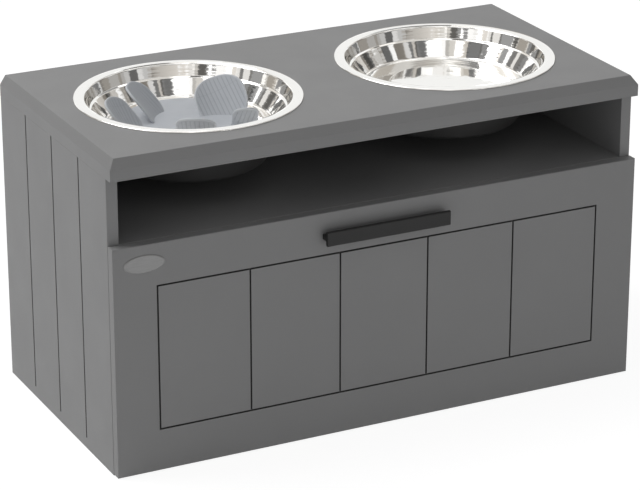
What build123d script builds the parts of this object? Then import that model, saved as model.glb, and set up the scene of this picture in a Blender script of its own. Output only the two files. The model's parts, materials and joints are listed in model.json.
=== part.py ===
from build123d import *
import os

# Raised dog feeder: a cabinet with two lift-out steel bowls, an open shelf and a drawer.
# Millimetres. +X is to the right of someone facing the drawer, +Y runs to the rear, +Z is up.
# The origin is on the floor, at the middle of everything the feeder covers.

# ---- driving dimensions -------------------------------------------------------------

# cabinet
cabinet_width = 600.0
cabinet_depth = 300.0
cabinet_height = 340.0
board = 12.0
top_board_thickness = 22.0
top_bevel_down = 9.6
top_bevel_in = 6.3
shelf_below_bowls = 24.5
base_bottom = 12.0
back_board = 4.0
back_inset = 8.0
slot_depth = 5.0
slot_play = 0.2
edge_break = 0.5

# grooves that divide the boards into planks
side_plank_count = 4
side_groove_start = 12.0
side_groove_mouth = 2.6
side_groove_floor = 1.4
side_groove_depth = 2.0
front_plank_count = 5
front_rail = 45.5
front_stile = 47.0
front_groove_mouth = 1.9
front_groove_floor = 0.9
front_groove_depth = 1.8

# drawer
drawer_front_thickness = 11.0
front_gap = 1.0
floor_gap = 1.5
drawer_side_gap = 12.5
drawer_back_gap = 14.9
drawer_head_gap = 40.0
drawer_base_clearance = 14.0
drawer_bottom_thickness = 4.0
drawer_bottom_raise = 10.0

# handle: a T section bar
handle_length = 141.5
handle_face_height = 15.0
handle_face_thickness = 4.0
handle_web_height = 5.0
handle_reach = 12.0
handle_below_top = 24.8
handle_edge = 0.6
handle_screw_spacing = 96.0
handle_screw_diameter = 3.0
handle_screw_head = 6.0
handle_screw_head_height = 2.0
handle_screw_bite = 6.0

# runners and their rollers
runner_end_gap = 12.0
runner_sheet = 1.2
rail_clearance = 0.8
rider_clearance = 1.7
guard_clearance = 5.1
runner_cup_inset = 1.5
roller_diameter = 17.0
roller_width = 6.0
roller_end_distance = 12.0
roller_fit = 0.05
axle_diameter = 4.0
axle_head_diameter = 7.0
axle_head_thickness = 1.0
roller_side_gap = 0.5
roller_end_play = 0.3
roller_recess = 0.8
roller_rim = 2.0
runner_play = 1.0
runner_screw_diameter = 3.0
runner_screw_bite = 9.0
runner_screw_head = 6.5
runner_screw_head_height = 1.6
runner_screw_places = (0.2, 0.5, 0.8)

# knock-down joints
cam_diameter = 12.0
cam_depth = 9.0
cam_setback = 24.0
cam_edge_distance = 40.0
bolt_diameter = 5.0
bolt_bite = 8.5
bolt_neck = 3.4
bolt_neck_length = 4.0
bolt_head = 5.4
bolt_head_length = 2.4
bolt_collar = 7.0
bolt_collar_thickness = 0.8
dowel_diameter = 6.0
dowel_length = 24.0
dowel_in_face = 8.5
dowel_edge_distance = 70.0
cam_slot = 1.2
joint_play = 0.1
drawer_joint_edge_distance = 30.0
back_screw_diameter = 4.5
back_screw_length = 38.0
back_screw_head = 8.0
back_screw_head_height = 3.0

# clearances shared by the fasteners
cut_over = 1.0
thread_play = 0.02
axle_play = 0.01
screw_hole_play = 0.3

# bowls: a pressed liner on a deeper outer shell
bowl_spacing = 300.0
bowl_rim_radius = 118.5
bowl_sheet = 0.8
bowl_flange_width = 9.2
bowl_seat_clearance = 2.0
liner_neck_gap = 2.0
liner_step_depth = 11.5
liner_upper_lean = 4.9
liner_step_width = 2.4
liner_step_drop = 1.2
liner_lower_lean = 12.5
liner_floor_depth = 29.5
liner_ring_width = 30.5
liner_centre_slope = 2.5
liner_centre_raise = 1.8
shell_shoulder_depth = 20.0
shell_upper_lean = 3.5
shell_lower_lean = 27.8
shell_depth = 67.5
rim_lip = 0.2

# slow feeding insert: two broad inner petals and three narrow outer ones on a round base
insert_overhang = 15.0
insert_base_thickness = 2.0
insert_base_edge = 0.6
petal_root_angles = (-4.0, 139.0, 184.0, 254.0, 309.0)
petal_root_insets = (31.0, 35.0, 7.0, 11.0, 9.0)
petal_lean_angles = (57.0, 142.0, 135.0, 240.0, 252.0)
petal_widths = (57.0, 48.0, 41.0, 42.0, 27.0)
petal_lengths = (46.0, 45.0, 42.0, 40.0, 40.0)
petal_rolls = (-20.0, 0.0, -4.0, 0.0, 0.0)
petal_root = 6.0
petal_tip_share = 0.45
petal_thickness = 2.6
petal_curl_radius = 50.0
petal_lean = 40.0

# ---- places worked out from them ----------------------------------------------------

front_y = (handle_reach - cabinet_depth) / 2
back_y = front_y + cabinet_depth
front_back_y = front_y + drawer_front_thickness
panel_front_y = front_back_y + front_gap
panel_depth = back_y - panel_front_y
panel_height = cabinet_height - top_board_thickness
shelf_top = cabinet_height - shell_depth - shelf_below_bowls
inner_half = cabinet_width / 2 - board
back_board_y = back_y - back_inset - back_board
inner_back_y = back_board_y - slot_play / 2
base_top = base_bottom + board
bowl_y = front_y + cabinet_depth / 2
bowl_places = (-bowl_spacing / 2, bowl_spacing / 2)

drawer_half = inner_half - drawer_side_gap
drawer_inner_half = drawer_half - board
drawer_low = base_top + drawer_base_clearance
drawer_wall_height = shelf_top - board - drawer_head_gap - drawer_low
drawer_joint_heights = (drawer_joint_edge_distance, drawer_wall_height - drawer_joint_edge_distance)
drawer_back_y = inner_back_y - drawer_back_gap
drawer_bottom_z = drawer_low + drawer_bottom_raise
handle_z = shelf_top - handle_below_top
handle_screw_xs = (-handle_screw_spacing / 2, handle_screw_spacing / 2)

runner_length = drawer_back_y - front_back_y - runner_end_gap
rail_width = drawer_side_gap - runner_sheet - rail_clearance
rider_width = drawer_side_gap - 2 * runner_sheet - rider_clearance
guard_width = drawer_side_gap - guard_clearance
roller_radius = roller_diameter / 2
rail_top = drawer_low + runner_sheet
axle_z = rail_top + roller_fit + roller_radius
rider_low = axle_z + roller_radius + roller_fit
guard_low = rider_low + runner_sheet + runner_play
cabinet_axle_y = panel_front_y + roller_end_distance
drawer_axle_y = front_back_y + runner_length - roller_end_distance
rail_start = cabinet_axle_y + roller_radius + runner_play
rider_end = drawer_axle_y - roller_radius - runner_play
cabinet_web_x = -inner_half + runner_sheet
drawer_web_x = -drawer_half - runner_sheet
cabinet_roller_x = cabinet_web_x + roller_side_gap + roller_width / 2
drawer_roller_x = drawer_web_x - roller_side_gap - roller_width / 2

bowl_neck_radius = bowl_rim_radius - bowl_flange_width
liner_mouth_radius = bowl_neck_radius - liner_neck_gap
liner_step_radius = liner_mouth_radius - liner_upper_lean
liner_floor_radius = liner_step_radius - liner_step_width - liner_lower_lean
liner_centre_radius = liner_floor_radius - liner_ring_width
shell_shoulder_radius = bowl_neck_radius - shell_upper_lean
shell_base_radius = shell_shoulder_radius - shell_lower_lean
insert_base_radius = liner_centre_radius + insert_overhang


# ---- small tools --------------------------------------------------------------------

def block(low, high):
    """A box from its lowest corner to its highest."""
    size = [b - a for a, b in zip(low, high)]
    centre = [(a + b) / 2 for a, b in zip(low, high)]
    return Pos(*centre) * Box(*size)


def rod(start, direction, length, radius):
    """A round bar from a point along a direction."""
    plane = Plane(origin=start, z_dir=direction)
    return extrude(plane * Circle(radius), length)


def through(start, direction, thickness, radius):
    """A cutter for a round hole that passes both faces of a sheet or board."""
    outside = Vector(*start) - Vector(*direction) * cut_over
    return rod(outside, direction, thickness + 2 * cut_over, radius)


def turned(start, direction, steps):
    """A turned piece: each step is a length along the axis and its radius."""
    pieces = []
    place = Vector(*start)
    for length, radius in steps:
        pieces.append(rod(place, direction, length, radius))
        place = place + Vector(*direction) * length
    return Part() + pieces


def both_sides(piece):
    """The piece and its mirror image across the middle of the cabinet."""
    return [piece, mirror(piece, about=Plane.YZ)]


def groove(start, direction, length, outward, mouth, floor, depth):
    """A straight groove cutter from a point on the face, wider at the face than at its floor."""
    across = Vector(*outward).cross(Vector(*direction))
    plane = Plane(origin=start, x_dir=across, z_dir=direction)
    corners = [(-mouth / 2, 0), (mouth / 2, 0), (floor / 2, -depth), (-floor / 2, -depth)]
    return extrude(plane * make_face(Polyline(*corners, close=True)), length)


def save(name, solids):
    """Writes one node's solids as one STEP file."""
    shape = Compound(children=[solid for piece in solids for solid in piece.solids()])
    export_step(shape, f"parts/{name}.step")


# ---- knock-down joints --------------------------------------------------------------

def cam_lock(face_point, out_of_face, towards_bolt):
    """A cam lock: a disc with a driver slot and a cavity that grips the bolt's head."""
    out = Vector(*out_of_face)
    bolt_way = Vector(*towards_bolt)
    inner_end = Vector(*face_point) - out * cam_depth
    body = rod(inner_end, out_of_face, cam_depth, cam_diameter / 2 - joint_play)
    plane = Plane(origin=Vector(*face_point), x_dir=bolt_way, z_dir=out)
    slot = plane * Pos(0, 0, -cam_slot / 2) * Box(cam_diameter * 0.7, cam_slot, cam_slot)
    bolt_line = Vector(*face_point) - out * (board / 2)
    cavity_start = bolt_line - bolt_way * cut_over
    cavity_length = bolt_head_length + 2 * cut_over
    cavity = rod(cavity_start, towards_bolt, cavity_length, bolt_head / 2 + screw_hole_play)
    mouth = rod(bolt_line, towards_bolt, cam_diameter, bolt_neck / 2 + screw_hole_play)
    return body - slot - cavity - mouth


def cam_bolt(face_point, out_of_face):
    """A cam bolt: its thread bites the face and its head reaches the cam's centre."""
    start = Vector(*face_point) - Vector(*out_of_face) * bolt_bite
    shank = cam_setback - bolt_collar_thickness - bolt_head_length - bolt_neck_length
    steps = [
        (bolt_bite, bolt_diameter / 2),
        (bolt_collar_thickness, bolt_collar / 2),
        (shank, bolt_diameter / 2),
        (bolt_neck_length, bolt_neck / 2),
        (bolt_head_length, bolt_head / 2),
    ]
    return turned(start, out_of_face, steps)


def cam_cuts(face_point, out_of_face):
    """The bolt's bite in one board, and its way into the edge of the other."""
    depth = bolt_bite + joint_play
    start = Vector(*face_point) - Vector(*out_of_face) * depth
    bite = rod(start, out_of_face, depth, bolt_diameter / 2 + joint_play)
    way = rod(face_point, out_of_face, cam_setback, bolt_collar / 2 + joint_play)
    return bite, way


def cam_bore(cam_point, out_of_face):
    """The blind bore that a cam lock sits in."""
    start = Vector(*cam_point) - Vector(*out_of_face) * (cam_depth + joint_play)
    return rod(start, out_of_face, cam_depth + cut_over, cam_diameter / 2)


def dowel(face_point, out_of_face):
    """A wooden dowel across a joint, shallow in the face and deep in the edge."""
    start = Vector(*face_point) - Vector(*out_of_face) * dowel_in_face
    return rod(start, out_of_face, dowel_length, dowel_diameter / 2)


def dowel_hole(face_point, out_of_face):
    """The hole for a dowel, through both boards."""
    start = Vector(*face_point) - Vector(*out_of_face) * (dowel_in_face + joint_play)
    return rod(start, out_of_face, dowel_length + 2 * joint_play, dowel_diameter / 2 + joint_play)


def cross_board_joints():
    """Joint points on the left panel's inner face: cams and dowels of the shelf and base."""
    cams = []
    dowels = []
    for top in (shelf_top, base_top):
        middle = top - board / 2
        for y in (panel_front_y + cam_edge_distance, inner_back_y - cam_edge_distance):
            cams.append((-inner_half, y, middle))
        for y in (panel_front_y + dowel_edge_distance, inner_back_y - dowel_edge_distance):
            dowels.append((-inner_half, y, middle))
    return cams, dowels


def top_dowel_points():
    """Dowel points on the top edge of the left panel, under the top board."""
    x = -cabinet_width / 2 + board / 2
    middle = (panel_front_y + inner_back_y) / 2
    reach = (inner_back_y - panel_front_y) / 2 - cam_edge_distance
    return [(x, middle + step * reach, panel_height) for step in (-1, 0, 1)]


# ---- cabinet boards -----------------------------------------------------------------

def top_board():
    """The thick top: bevelled in front and at its sides, with a hole for each bowl."""
    straight = top_board_thickness - top_bevel_down
    half = cabinet_width / 2
    low = block((-half, front_y, panel_height), (half, back_y, panel_height + straight))
    bevel_plane = Plane.XY.offset(panel_height + straight)
    foot = bevel_plane * Pos(0, bowl_y) * Rectangle(cabinet_width, cabinet_depth)
    head_size = (cabinet_width - 2 * top_bevel_in, cabinet_depth - top_bevel_in)
    head = Plane.XY.offset(cabinet_height) * Pos(0, bowl_y + top_bevel_in / 2) * Rectangle(*head_size)
    board_part = low + loft([foot, head], ruled=True)
    hole_radius = bowl_neck_radius + bowl_sheet / 2 + bowl_seat_clearance
    for x in bowl_places:
        board_part -= Pos(x, bowl_y, cabinet_height) * Cylinder(hole_radius, 3 * top_board_thickness)
    board_part -= back_slot(inner_half + slot_depth, panel_height - cut_over, panel_height + slot_depth)
    for point in top_dowel_points():
        board_part -= both_sides(dowel_hole(point, (0, 0, -1)))
    return board_part


def back_slot(reach, low, high):
    """The slot round the cabinet for its thin back."""
    return block((-reach, inner_back_y, low), (reach, inner_back_y + back_board + slot_play, high))


def left_side_panel():
    """A side panel with plank grooves outside and its slot and joint holes inside."""
    outer = -cabinet_width / 2
    panel = block((outer, panel_front_y, 0), (-inner_half, back_y, panel_height))
    panel = chamfer(panel.edges().filter_by(Axis.Z).group_by(Axis.X)[0], edge_break)
    plank = panel_depth / side_plank_count
    profile = (side_groove_mouth, side_groove_floor, side_groove_depth)
    for k in range(1, side_plank_count):
        start = (outer, panel_front_y + k * plank, side_groove_start)
        panel -= groove(start, (0, 0, 1), panel_height, (-1, 0, 0), *profile)
    panel -= back_slot(inner_half + slot_depth, base_bottom, panel_height + cut_over)
    cams, dowels = cross_board_joints()
    for point in cams:
        panel -= cam_cuts(point, (1, 0, 0))[0]
    for point in dowels:
        panel -= dowel_hole(point, (1, 0, 0))
    for point in top_dowel_points():
        panel -= dowel_hole(point, (0, 0, -1))
    for y in runner_screw_ys(panel_front_y):
        panel -= runner_pilot((-inner_half, y, axle_z), (-1, 0, 0))
    return panel


def cross_board(top):
    """The shelf or the base: a board between the panels with cams in its underside."""
    low = (-inner_half, panel_front_y, top - board)
    piece = block(low, (inner_half, inner_back_y, top))
    piece = chamfer(piece.edges().filter_by(Axis.X).group_by(Axis.Y)[0], edge_break)
    cams, dowels = cross_board_joints()
    cuts = []
    for point in cams:
        if abs(point[2] - (top - board / 2)) < board / 2:
            cuts += both_sides(cam_cuts(point, (1, 0, 0))[1])
            cuts += both_sides(cam_bore((point[0] + cam_setback, point[1], top - board), (0, 0, -1)))
    for point in dowels:
        if abs(point[2] - (top - board / 2)) < board / 2:
            cuts += both_sides(dowel_hole(point, (1, 0, 0)))
    return piece - cuts


def back_panel():
    """The thin back, held in slots in the panels and the top board."""
    reach = inner_half + slot_depth - slot_play
    low = (-reach, back_board_y, base_bottom)
    return block(low, (reach, back_board_y + back_board, panel_height + slot_depth - slot_play))


def cabinet_cams():
    """Cam locks in the undersides of the shelf and the base."""
    locks = []
    for x, y, z in cross_board_joints()[0]:
        lock = cam_lock((x + cam_setback, y, z - board / 2), (0, 0, -1), (-1, 0, 0))
        locks += both_sides(lock)
    return locks


def cabinet_bolts():
    """Cam bolts in the side panels."""
    bolts = []
    for point in cross_board_joints()[0]:
        bolts += both_sides(cam_bolt(point, (1, 0, 0)))
    return bolts


def cabinet_dowels():
    """Dowels of the shelf, the base and the top board."""
    pins = []
    for point in cross_board_joints()[1]:
        pins += both_sides(dowel(point, (1, 0, 0)))
    for point in top_dowel_points():
        pins += both_sides(dowel(point, (0, 0, -1)))
    return pins


# ---- runners ------------------------------------------------------------------------

def runner_screw_ys(start):
    """Where a runner that starts at this y has its screws."""
    return [start + share * runner_length for share in runner_screw_places]


def sheet_section(corners, plane):
    """A bent sheet's section from its list of corners."""
    return plane * make_face(Polyline(*corners, close=True))


def left_cabinet_runner():
    """The fixed runner: a rail below, a web on the panel and a guard above, as one channel."""
    wall = -inner_half
    t = runner_sheet
    low = rail_top - t
    high = guard_low + t
    rail_edge = wall + rail_width
    guard_edge = wall + guard_width
    corners = [
        (wall, low), (rail_edge, low), (rail_edge, rail_top), (wall + t, rail_top),
        (wall + t, guard_low), (guard_edge, guard_low), (guard_edge, high), (wall, high),
    ]
    plane = Plane(origin=(0, panel_front_y, 0), x_dir=(1, 0, 0), z_dir=(0, -1, 0))
    channel = extrude(sheet_section(corners, plane), -runner_length)
    channel -= block((wall + t, panel_front_y - cut_over, low - cut_over), (0, rail_start, rail_top))
    for y in runner_screw_ys(panel_front_y):
        channel -= through((wall, y, axle_z), (1, 0, 0), t, runner_screw_diameter / 2 + screw_hole_play)
    return channel - through((wall, cabinet_axle_y, axle_z), (1, 0, 0), t, axle_diameter / 2 + axle_play)


def left_drawer_runner():
    """The moving runner: it cups the drawer side's lower edge and rides on the front roller."""
    side = -drawer_half
    t = runner_sheet
    outer = side - t
    rider_edge = outer - rider_width
    cup_edge = side + board - runner_cup_inset
    low = drawer_low - t
    high = rider_low + t
    corners = [
        (outer, low), (cup_edge, low), (cup_edge, drawer_low), (side, drawer_low),
        (side, high), (rider_edge, high), (rider_edge, rider_low), (outer, rider_low),
    ]
    plane = Plane(origin=(0, front_back_y, 0), x_dir=(1, 0, 0), z_dir=(0, -1, 0))
    runner = extrude(sheet_section(corners, plane), -runner_length)
    runner -= block((rider_edge - cut_over, rider_end, low), (outer, back_y, high + cut_over))
    for y in runner_screw_ys(front_back_y):
        place = (side + board / 2, y, low)
        runner -= through(place, (0, 0, 1), t, runner_screw_diameter / 2 + screw_hole_play)
    return runner - through((outer, drawer_axle_y, axle_z), (1, 0, 0), t, axle_diameter / 2 + axle_play)


def roller(middle_x, y):
    """A plastic roller: a hub and a tread, with a recess between them in each face."""
    half = roller_width / 2
    bore = axle_diameter / 2 + roller_fit
    hub = axle_head_diameter / 2
    tread = roller_radius - roller_rim
    recessed = half - roller_recess
    corners = [
        (bore, -half), (hub, -half), (hub, -recessed), (tread, -recessed), (tread, -half),
        (roller_radius, -half), (roller_radius, half), (tread, half),
        (tread, recessed), (hub, recessed), (hub, half), (bore, half),
    ]
    wheel = revolve(Plane.XZ * make_face(Polyline(*corners, close=True)), Axis.Z)
    return Pos(middle_x, y, axle_z) * Rot(0, 90, 0) * wheel


def axle(face_x, y, direction):
    """A riveted axle: a stub from the web with a head that keeps the roller on."""
    reach = roller_side_gap + roller_width + roller_end_play
    start = (face_x - direction * runner_sheet, y, axle_z)
    steps = [(runner_sheet + reach, axle_diameter / 2), (axle_head_thickness, axle_head_diameter / 2)]
    return turned(start, (direction, 0, 0), steps)


def runner_screw(face_point, into):
    """A pan head screw that holds a runner."""
    start = Vector(*face_point) - Vector(*into) * runner_screw_head_height
    steps = [
        (runner_screw_head_height, runner_screw_head / 2),
        (runner_sheet + runner_screw_bite, runner_screw_diameter / 2),
    ]
    return turned(start, into, steps)


def runner_pilot(face_point, into):
    """The pilot hole for a runner screw in a board."""
    start = Vector(*face_point) - Vector(*into) * cut_over
    depth = cut_over + runner_screw_bite + joint_play
    return rod(start, into, depth, runner_screw_diameter / 2 + thread_play)


def cabinet_runner_screws():
    """Screws through the fixed runners into the side panels."""
    screws = []
    for y in runner_screw_ys(panel_front_y):
        screws += both_sides(runner_screw((cabinet_web_x, y, axle_z), (-1, 0, 0)))
    return screws


def drawer_runner_screws():
    """Screws up through the moving runners into the drawer sides."""
    screws = []
    for y in runner_screw_ys(front_back_y):
        place = (-drawer_half + board / 2, y, drawer_low - runner_sheet)
        screws += both_sides(runner_screw(place, (0, 0, 1)))
    return screws


# ---- drawer -------------------------------------------------------------------------

def drawer_joint_points():
    """Where the left drawer side meets the front: its cam joints."""
    x = -drawer_half + board / 2
    return [(x, front_back_y, drawer_low + height) for height in drawer_joint_heights]


def back_screw_points():
    """Where screws pass through the left drawer side into the drawer back."""
    y = drawer_back_y - board / 2
    return [(-drawer_half, y, drawer_low + height) for height in drawer_joint_heights]


def drawer_bottom_cut():
    """The slot round the drawer for its bottom board."""
    reach = drawer_inner_half + slot_depth
    slot_floor = drawer_bottom_z - slot_play / 2
    slot_roof = slot_floor + drawer_bottom_thickness + slot_play
    low = (-reach, front_back_y - slot_depth, slot_floor)
    return block(low, (reach, drawer_back_y - board + slot_depth, slot_roof))


def framed_groove(low, high, half):
    """A rectangle of groove with mitred corners, as one tapered ring."""
    face = Plane(origin=(0, front_y, (low + high) / 2), x_dir=(1, 0, 0), z_dir=(0, 1, 0))
    floor = face.offset(front_groove_depth)

    def ring(extra):
        return Rectangle(2 * half + extra, high - low + extra)

    outer = loft([face * ring(front_groove_mouth), floor * ring(front_groove_floor)], ruled=True)
    inner = loft([face * ring(-front_groove_mouth), floor * ring(-front_groove_floor)], ruled=True)
    return outer - inner


def front_grooves():
    """The groove that frames the drawer front's planks, and the grooves between them."""
    low = floor_gap + front_rail
    high = shelf_top - front_rail
    half = cabinet_width / 2 - front_stile
    plank = 2 * half / front_plank_count
    profile = (front_groove_mouth, front_groove_floor, front_groove_depth)
    cuts = [framed_groove(low, high, half)]
    for k in range(1, front_plank_count):
        start = (-half + k * plank, front_y, low)
        cuts.append(groove(start, (0, 0, 1), high - low, (0, -1, 0), *profile))
    return cuts


def drawer_front():
    """The drawer front that covers the cabinet's edges, with planks cut into its face."""
    half = cabinet_width / 2
    piece = block((-half, front_y, floor_gap), (half, front_back_y, shelf_top))
    piece = chamfer(piece.faces().sort_by(Axis.Y)[0].edges(), edge_break)
    piece -= front_grooves()
    piece -= drawer_bottom_cut()
    for point in drawer_joint_points():
        piece -= both_sides(cam_cuts(point, (0, 1, 0))[0])
    hole_radius = handle_screw_diameter / 2 + screw_hole_play
    for x in handle_screw_xs:
        piece -= through((x, front_y, handle_z), (0, 1, 0), drawer_front_thickness, hole_radius)
    return piece


def left_drawer_side():
    """A drawer side with its bottom slot, cam bores and screw holes."""
    low = (-drawer_half, front_back_y, drawer_low)
    side = block(low, (-drawer_inner_half, drawer_back_y, drawer_low + drawer_wall_height))
    side = chamfer(side.edges().filter_by(Axis.Y).group_by(Axis.Z)[-1], edge_break)
    side -= drawer_bottom_cut()
    for point in drawer_joint_points():
        side -= cam_cuts(point, (0, 1, 0))[1]
        side -= cam_bore((-drawer_inner_half, front_back_y + cam_setback, point[2]), (1, 0, 0))
    for point in back_screw_points():
        side -= back_screw_hole(point)
    for y in runner_screw_ys(front_back_y):
        side -= runner_pilot((-drawer_half + board / 2, y, drawer_low), (0, 0, 1))
    return side


def back_screw(point, play=0.0):
    """A countersunk screw that lies flush in the drawer side."""
    x, y, z = point
    shank_radius = back_screw_diameter / 2 + play
    head_face = Plane(origin=(x, y, z), z_dir=(1, 0, 0))
    head_neck = head_face.offset(back_screw_head_height)
    head = loft([head_face * Circle(back_screw_head / 2 + play), head_neck * Circle(shank_radius)])
    return head + rod(point, (1, 0, 0), back_screw_length + play, shank_radius)


def back_screw_hole(point):
    """The clearance for a back screw."""
    return back_screw(point, thread_play)


def drawer_back():
    """The drawer's rear board, screwed between its sides."""
    low = (-drawer_inner_half, drawer_back_y - board, drawer_low)
    piece = block(low, (drawer_inner_half, drawer_back_y, drawer_low + drawer_wall_height))
    piece -= drawer_bottom_cut()
    for point in back_screw_points():
        piece -= both_sides(back_screw_hole(point))
    return piece


def drawer_bottom():
    """The thin board in the drawer's slots."""
    reach = drawer_inner_half + slot_depth - slot_play
    tongue = slot_depth - slot_play
    low = (-reach, front_back_y - tongue, drawer_bottom_z)
    return block(low, (reach, drawer_back_y - board + tongue, drawer_bottom_z + drawer_bottom_thickness))


def drawer_cams():
    """Cam locks inside the drawer sides."""
    locks = []
    for point in drawer_joint_points():
        place = (-drawer_inner_half, front_back_y + cam_setback, point[2])
        locks += both_sides(cam_lock(place, (1, 0, 0), (0, -1, 0)))
    return locks


def drawer_bolts():
    """Cam bolts in the back of the drawer front."""
    bolts = []
    for point in drawer_joint_points():
        bolts += both_sides(cam_bolt(point, (0, 1, 0)))
    return bolts


def drawer_back_screws():
    """Screws through the sides into the drawer back."""
    screws = []
    for point in back_screw_points():
        screws += both_sides(back_screw(point))
    return screws


def handle_bar():
    """The handle: a T section cut to length, its foot on the drawer front."""
    half_face = handle_face_height / 2
    half_web = handle_web_height / 2
    web = handle_reach - handle_face_thickness
    corners = [
        (0, -half_web), (web, -half_web), (web, -half_face), (handle_reach, -half_face),
        (handle_reach, half_face), (web, half_face), (web, half_web), (0, half_web),
    ]
    plane = Plane(origin=(-handle_length / 2, front_y, handle_z), x_dir=(0, -1, 0), z_dir=(1, 0, 0))
    bar = extrude(plane * make_face(Polyline(*corners, close=True)), handle_length)
    bar = chamfer(bar.faces().sort_by(Axis.Y)[0].edges(), handle_edge)
    depth = cut_over + handle_screw_bite + joint_play
    for x in handle_screw_xs:
        start = (x, front_y + cut_over, handle_z)
        bar -= rod(start, (0, -1, 0), depth, handle_screw_diameter / 2 + thread_play)
    return bar


def handle_screws():
    """Screws from inside the drawer into the handle."""
    steps = [
        (handle_screw_head_height, handle_screw_head / 2),
        (drawer_front_thickness + handle_screw_bite, handle_screw_diameter / 2),
    ]
    starts = [(x, front_back_y + handle_screw_head_height, handle_z) for x in handle_screw_xs]
    return [turned(start, (0, -1, 0), steps) for start in starts]


# ---- bowls --------------------------------------------------------------------------

def pressed_sheet(points, corner_radii):
    """A sheet of even thickness spun about Z, from the radius and height of its bends."""
    line = FilletPolyline(*points, radius=corner_radii)
    return revolve(Plane.XZ * trace(line, bowl_sheet), Axis.Z)


def bowl_liner():
    """The liner: a turned-down rim, a stepped wall and a floor with a raised middle."""
    t = bowl_sheet
    rim = cabinet_height + 1.5 * t
    top = cabinet_height
    outer = bowl_rim_radius - t / 2
    floor = top - liner_floor_depth - t / 2
    points = [
        (outer, top + rim_lip), (outer, rim), (liner_mouth_radius, rim),
        (liner_step_radius, top - liner_step_depth),
        (liner_step_radius - liner_step_width, top - liner_step_depth - liner_step_drop),
        (liner_floor_radius, floor), (liner_centre_radius + liner_centre_slope, floor),
        (liner_centre_radius, floor + liner_centre_raise), (0, floor + liner_centre_raise),
    ]
    return pressed_sheet(points, [0.5, 3.0, 1.0, 1.0, 5.0, 1.2, 1.2])


def bowl_shell():
    """The outer shell: a flange under the liner's rim and a deep tapered cup."""
    t = bowl_sheet
    flange = cabinet_height + t / 2
    top = cabinet_height
    base = top - shell_depth + t / 2
    points = [
        (bowl_rim_radius - 2 * t, flange), (bowl_neck_radius, flange),
        (shell_shoulder_radius, top - shell_shoulder_depth),
        (shell_base_radius, base), (0, base),
    ]
    return pressed_sheet(points, [2.0, 12.0, 10.0])


def petal(width, length):
    """One petal: a curled tongue with a round tip, upright at the origin, its root at z = 0."""
    half_sheet = petal_thickness / 2
    tall = 2 * length
    tube = Cylinder(petal_curl_radius + half_sheet, tall)
    tube -= Cylinder(petal_curl_radius - half_sheet, tall)
    curl = Pos(0, -petal_curl_radius, length / 2) * tube
    blank = RectangleRounded(width, length + 2 * petal_root, petal_tip_share * width)
    outline = Pos(0, length / 2 - petal_root) * blank
    tongue = extrude(Plane.XZ * outline, petal_curl_radius / 2, both=True)
    return curl & tongue


def slow_feed_insert():
    """The insert: a round base with leaning, turned petals that rise to the bowl's rim."""
    floor = cabinet_height - liner_floor_depth + liner_centre_raise
    middle = insert_base_thickness / 2
    whole = Pos(0, 0, middle) * Cylinder(insert_base_radius, insert_base_thickness)
    whole = chamfer(whole.edges().group_by(Axis.Z)[-1], insert_base_edge)
    above = block((-bowl_spacing, -bowl_spacing, middle), (bowl_spacing, bowl_spacing, bowl_spacing))
    places = zip(petal_root_angles, petal_root_insets, petal_lean_angles, petal_rolls)
    blanks = zip(petal_widths, petal_lengths)
    for (root_angle, inset, lean_angle, roll), (width, length) in zip(places, blanks):
        root = Rot(0, 0, root_angle) * Pos(insert_base_radius - inset, 0, middle)
        lean = Rot(0, 0, lean_angle - root_angle - 90) * Rot(-petal_lean, 0, 0) * Rot(0, roll, 0)
        whole += (root * lean * petal(width, length)) & above
    return Pos(bowl_places[0], bowl_y, floor) * whole


# ---- the pieces ---------------------------------------------------------------------

def main():
    os.makedirs("parts", exist_ok=True)
    panel = left_side_panel()
    save("top_board", [top_board()])
    save("left_side_panel", [panel])
    save("right_side_panel", [mirror(panel, about=Plane.YZ)])
    save("shelf_board", [cross_board(shelf_top)])
    save("base_board", [cross_board(base_top)])
    save("back_panel", [back_panel()])
    save("cabinet_cam_locks", cabinet_cams())
    save("cabinet_cam_bolts", cabinet_bolts())
    save("cabinet_dowels", cabinet_dowels())

    fixed_left, fixed_right = both_sides(left_cabinet_runner())
    save("left_cabinet_runner", [fixed_left])
    save("right_cabinet_runner", [fixed_right])
    save("cabinet_runner_screws", cabinet_runner_screws())
    save("cabinet_roller_axles", both_sides(axle(cabinet_web_x, cabinet_axle_y, 1)))
    front_left, front_right = both_sides(roller(cabinet_roller_x, cabinet_axle_y))
    save("left_cabinet_roller", [front_left])
    save("right_cabinet_roller", [front_right])

    save("drawer_front", [drawer_front()])
    side_left, side_right = both_sides(left_drawer_side())
    save("left_drawer_side", [side_left])
    save("right_drawer_side", [side_right])
    save("drawer_back", [drawer_back()])
    save("drawer_bottom", [drawer_bottom()])
    save("drawer_cam_locks", drawer_cams())
    save("drawer_cam_bolts", drawer_bolts())
    save("drawer_back_screws", drawer_back_screws())
    moving_left, moving_right = both_sides(left_drawer_runner())
    save("left_drawer_runner", [moving_left])
    save("right_drawer_runner", [moving_right])
    save("drawer_runner_screws", drawer_runner_screws())
    save("drawer_roller_axles", both_sides(axle(drawer_web_x, drawer_axle_y, -1)))
    rear_left, rear_right = both_sides(roller(drawer_roller_x, drawer_axle_y))
    save("left_drawer_roller", [rear_left])
    save("right_drawer_roller", [rear_right])
    save("handle_bar", [handle_bar()])
    save("handle_screws", handle_screws())

    liner = bowl_liner()
    shell = bowl_shell()
    for side, x in zip(("left", "right"), bowl_places):
        save(f"{side}_bowl_liner", [Pos(x, bowl_y, 0) * liner])
        save(f"{side}_bowl_shell", [Pos(x, bowl_y, 0) * shell])
    save("slow_feed_insert", [slow_feed_insert()])


main()
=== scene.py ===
import json
import math

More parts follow.
